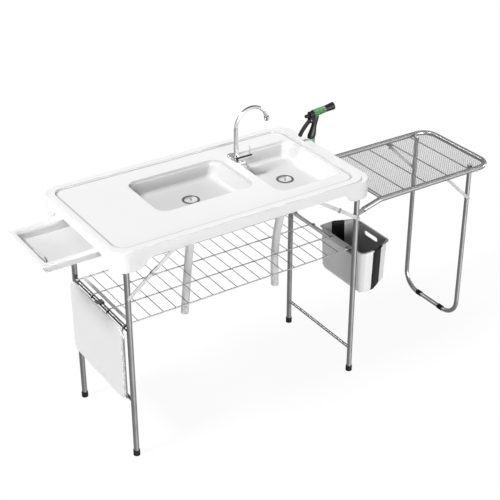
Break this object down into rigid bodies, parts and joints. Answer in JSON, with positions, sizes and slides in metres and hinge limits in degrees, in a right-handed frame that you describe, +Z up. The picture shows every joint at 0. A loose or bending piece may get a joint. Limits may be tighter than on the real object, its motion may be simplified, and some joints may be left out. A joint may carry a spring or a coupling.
{
  "type": "camping_sink_stand",
  "caption": "Folding camping sink stand with two basins, slide-out drawer, tap, spray gun, wire shelf, hanging bin, cutting board and mesh side table",
  "frame": {"origin": "on the floor, under the middle of the whole stand's length and width", "axes": "+X runs along the worktop from the drawer to the side table, +Y runs from the front to the back, +Z is up"},
  "size_m": [2.037, 0.598, 1.1459],
  "materials": {
    "worktop_plastic": "satin",
    "drain_metal": "brushed",
    "drain_plastic": "satin",
    "hose_plastic": "satin",
    "leg_steel": "satin",
    "bright_steel": "brushed",
    "black_plastic": "satin",
    "foot_rubber": "matte",
    "wire_steel": "satin",
    "board_plastic": "satin",
    "bin_plastic": "satin",
    "band_rubber": "matte",
    "mesh_steel": "satin",
    "chrome": "polished",
    "gun_green": "gloss",
    "gun_black": "satin",
    "gun_clear": "satin"
  },
  "bodies": {
    "stand": {"worktop": "worktop_plastic", "worktop_skirt": "worktop_plastic", "left_basin": "worktop_plastic", "right_basin": "worktop_plastic", "left_drain_flange": "drain_metal", "right_drain_flange": "drain_metal", "left_drain_tail": "drain_plastic", "right_drain_tail": "drain_plastic", "left_drain_hose": "hose_plastic", "right_drain_hose": "hose_plastic", "hose_clamps": "bright_steel", "drawer_runners": "worktop_plastic", "left_front_leg": "leg_steel", "left_back_leg": "leg_steel", "right_front_leg": "leg_steel", "right_back_leg": "leg_steel", "left_upper_crossbar": "leg_steel", "left_lower_crossbar": "leg_steel", "right_upper_crossbar": "leg_steel", "right_lower_crossbar": "leg_steel", "leg_feet": "foot_rubber", "deck_brackets": "bright_steel", "frame_bolts": "bright_steel", "left_stay_lower": "bright_steel", "left_stay_upper": "bright_steel", "right_stay_lower": "bright_steel", "right_stay_upper": "bright_steel", "stay_locks": "black_plastic", "tap_base": "chrome", "tap_body": "chrome", "tap_shank": "drain_plastic", "gun_holder": "gun_clear"},
    "drawer": {"drawer_tray": "worktop_plastic"},
    "spout": {"tap_spout": "chrome", "tap_aerator": "chrome"},
    "lever": {"tap_lever": "chrome"},
    "left_cover": {"left_strainer": "drain_metal"},
    "right_cover": {"right_strainer": "drain_metal"},
    "gun": {"gun_grip": "gun_black", "gun_barrel": "gun_green", "gun_pin": "bright_steel"},
    "trigger": {"gun_trigger": "gun_black"},
    "gun_nozzle": {"gun_head": "gun_black"},
    "gun_dial": {"gun_knob": "gun_black"},
    "shelf": {"shelf_long_wires": "wire_steel", "shelf_cross_wires": "wire_steel"},
    "board": {"cutting_board": "board_plastic", "board_rail": "leg_steel", "board_hook": "bright_steel"},
    "bin": {"bin_back": "bin_plastic", "bin_band": "band_rubber", "bin_front": "bin_plastic", "bin_hook": "bin_plastic"},
    "side_table": {"side_frame": "leg_steel", "side_mesh": "mesh_steel", "side_rods": "wire_steel", "side_leg": "leg_steel", "side_pads": "foot_rubber", "side_braces": "bright_steel", "side_bolts": "bright_steel"}
  },
  "joints": [
    {"name": "drawer_slide", "type": "slide", "parent": "stand", "child": "drawer", "axis": [1, 0, 0], "range_m": [0, 0.2]},
    {"name": "spout_swivel", "type": "hinge", "parent": "stand", "child": "spout", "pos_m": [-0.0535, 0.128, 1.067], "axis": [0, 0, 1], "range_deg": [-90, 90]},
    {"name": "lever_turn", "type": "hinge", "parent": "stand", "child": "lever", "pos_m": [-0.0155, 0.09, 0.954], "axis": [1, 0, 0], "range_deg": [0, 90]},
    {"name": "left_strainer_lift", "type": "slide", "parent": "stand", "child": "left_cover", "axis": [0, 0, 1], "range_m": [0, 0.04]},
    {"name": "right_strainer_lift", "type": "slide", "parent": "stand", "child": "right_cover", "axis": [0, 0, 1], "range_m": [0, 0.04]},
    {"name": "gun_lift", "type": "slide", "parent": "stand", "child": "gun", "axis": [0, 0, 1], "range_m": [0, 0.06]},
    {"name": "trigger_pull", "type": "hinge", "parent": "gun", "child": "trigger", "pos_m": [0.305, 0.13, 1.018], "axis": [0, -1, 0], "range_deg": [0, 15], "stiffness_Nm_per_rad": 0.3},
    {"name": "nozzle_twist", "type": "hinge", "parent": "gun", "child": "gun_nozzle", "pos_m": [0.37476, 0.13, 1.0484], "axis": [0.9925, 0, 0.1219], "continuous": true},
    {"name": "dial_turn", "type": "hinge", "parent": "gun", "child": "gun_dial", "pos_m": [0.29536, 0.13, 1.03865], "axis": [0.9925, 0, 0.1219], "range_deg": [0, 270]},
    {"name": "shelf_lift", "type": "slide", "parent": "stand", "child": "shelf", "axis": [0, 0, 1], "range_m": [0, 0.02]},
    {"name": "board_lift", "type": "slide", "parent": "stand", "child": "board", "axis": [0, 0, 1], "range_m": [0, 0.03]},
    {"name": "bin_lift", "type": "slide", "parent": "stand", "child": "bin", "axis": [0, 0, 1], "range_m": [0, 0.03]},
    {"name": "side_table_swing", "type": "hinge", "parent": "stand", "child": "side_table", "pos_m": [0.2825, 0, 0.735], "axis": [0, -1, 0], "range_deg": [0, 50]}
  ]
}
